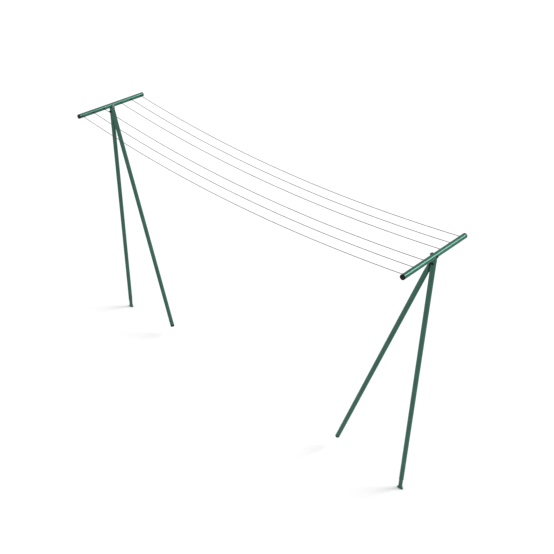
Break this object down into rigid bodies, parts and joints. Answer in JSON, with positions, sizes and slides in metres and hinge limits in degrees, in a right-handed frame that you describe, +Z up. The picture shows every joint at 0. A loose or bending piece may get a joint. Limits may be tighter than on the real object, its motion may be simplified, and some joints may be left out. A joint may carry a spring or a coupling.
{
  "type": "two-post clothesline",
  "caption": "Fixed garden clothesline: two coated-steel T posts with leaning braces, facing each other, and plastic-coated lines hanging between their crossbars.",
  "frame": {"origin": "on the ground midway between the two post axes, level with the bottom of the post feet", "axes": "+X along the lines from the left stand to the right one, +Y along the crossbars, +Z up"},
  "size_m": [3.149, 0.638, 2.0175],
  "materials": {
    "green_coat": "smooth glossy green polymer coat on steel tube",
    "black_plastic": "glossy moulded black plastic",
    "black_steel": "black coated bolt",
    "zinc": "zinc plated nut and washer on the brace bolt",
    "line_pvc": "pale grey plastic coated line"
  },
  "bodies": {
    "root": {"left_post": "green_coat", "left_crossbar": "green_coat", "left_line_bushes": "black_plastic", "left_spigot": "green_coat", "left_lock_bolt": "black_steel", "left_lock_nut": "black_steel", "left_lock_saddles": "black_plastic", "left_front_cap": "black_plastic", "left_back_cap": "black_plastic", "left_brace_bolt": "black_steel", "left_brace_washer": "zinc", "left_brace_nut": "zinc", "right_post": "green_coat", "right_crossbar": "green_coat", "right_line_bushes": "black_plastic", "right_spigot": "green_coat", "right_lock_bolt": "black_steel", "right_lock_nut": "black_steel", "right_lock_saddles": "black_plastic", "right_front_cap": "black_plastic", "right_back_cap": "black_plastic", "right_brace_bolt": "black_steel", "right_brace_washer": "zinc", "right_brace_nut": "zinc"},
    "left_brace_arm": {"left_brace": "green_coat", "left_brace_foot": "black_plastic"},
    "right_brace_arm": {"right_brace": "green_coat", "right_brace_foot": "black_plastic"},
    "line_1_span": {"line_1": "line_pvc", "line_1_knots": "line_pvc"},
    "line_2_span": {"line_2": "line_pvc", "line_2_knots": "line_pvc"},
    "line_3_span": {"line_3": "line_pvc", "line_3_knots": "line_pvc"},
    "line_4_span": {"line_4": "line_pvc", "line_4_knots": "line_pvc"},
    "line_5_span": {"line_5": "line_pvc", "line_5_knots": "line_pvc"},
    "line_6_span": {"line_6": "line_pvc", "line_6_knots": "line_pvc"}
  },
  "joints": [
    {"name": "left_brace_pivot", "type": "hinge", "parent": "root", "child": "left_brace_arm", "pos_m": [-1.5297, 0, 2], "axis": [1, 0, 0], "range_deg": [-60, 60]},
    {"name": "right_brace_pivot", "type": "hinge", "parent": "root", "child": "right_brace_arm", "pos_m": [1.5297, 0, 2], "axis": [1, 0, 0], "range_deg": [-60, 60]},
    {"name": "line_1_swing", "type": "hinge", "parent": "root", "child": "line_1_span", "pos_m": [0, -0.288, 2], "axis": [1, 0, 0], "range_deg": [-30, 30]},
    {"name": "line_2_swing", "type": "hinge", "parent": "root", "child": "line_2_span", "pos_m": [0, -0.186, 2], "axis": [1, 0, 0], "range_deg": [-30, 30]},
    {"name": "line_3_swing", "type": "hinge", "parent": "root", "child": "line_3_span", "pos_m": [0, -0.084, 2], "axis": [1, 0, 0], "range_deg": [-30, 30]},
    {"name": "line_4_swing", "type": "hinge", "parent": "root", "child": "line_4_span", "pos_m": [0, 0.084, 2], "axis": [1, 0, 0], "range_deg": [-30, 30]},
    {"name": "line_5_swing", "type": "hinge", "parent": "root", "child": "line_5_span", "pos_m": [0, 0.186, 2], "axis": [1, 0, 0], "range_deg": [-30, 30]},
    {"name": "line_6_swing", "type": "hinge", "parent": "root", "child": "line_6_span", "pos_m": [0, 0.288, 2], "axis": [1, 0, 0], "range_deg": [-30, 30]}
  ]
}
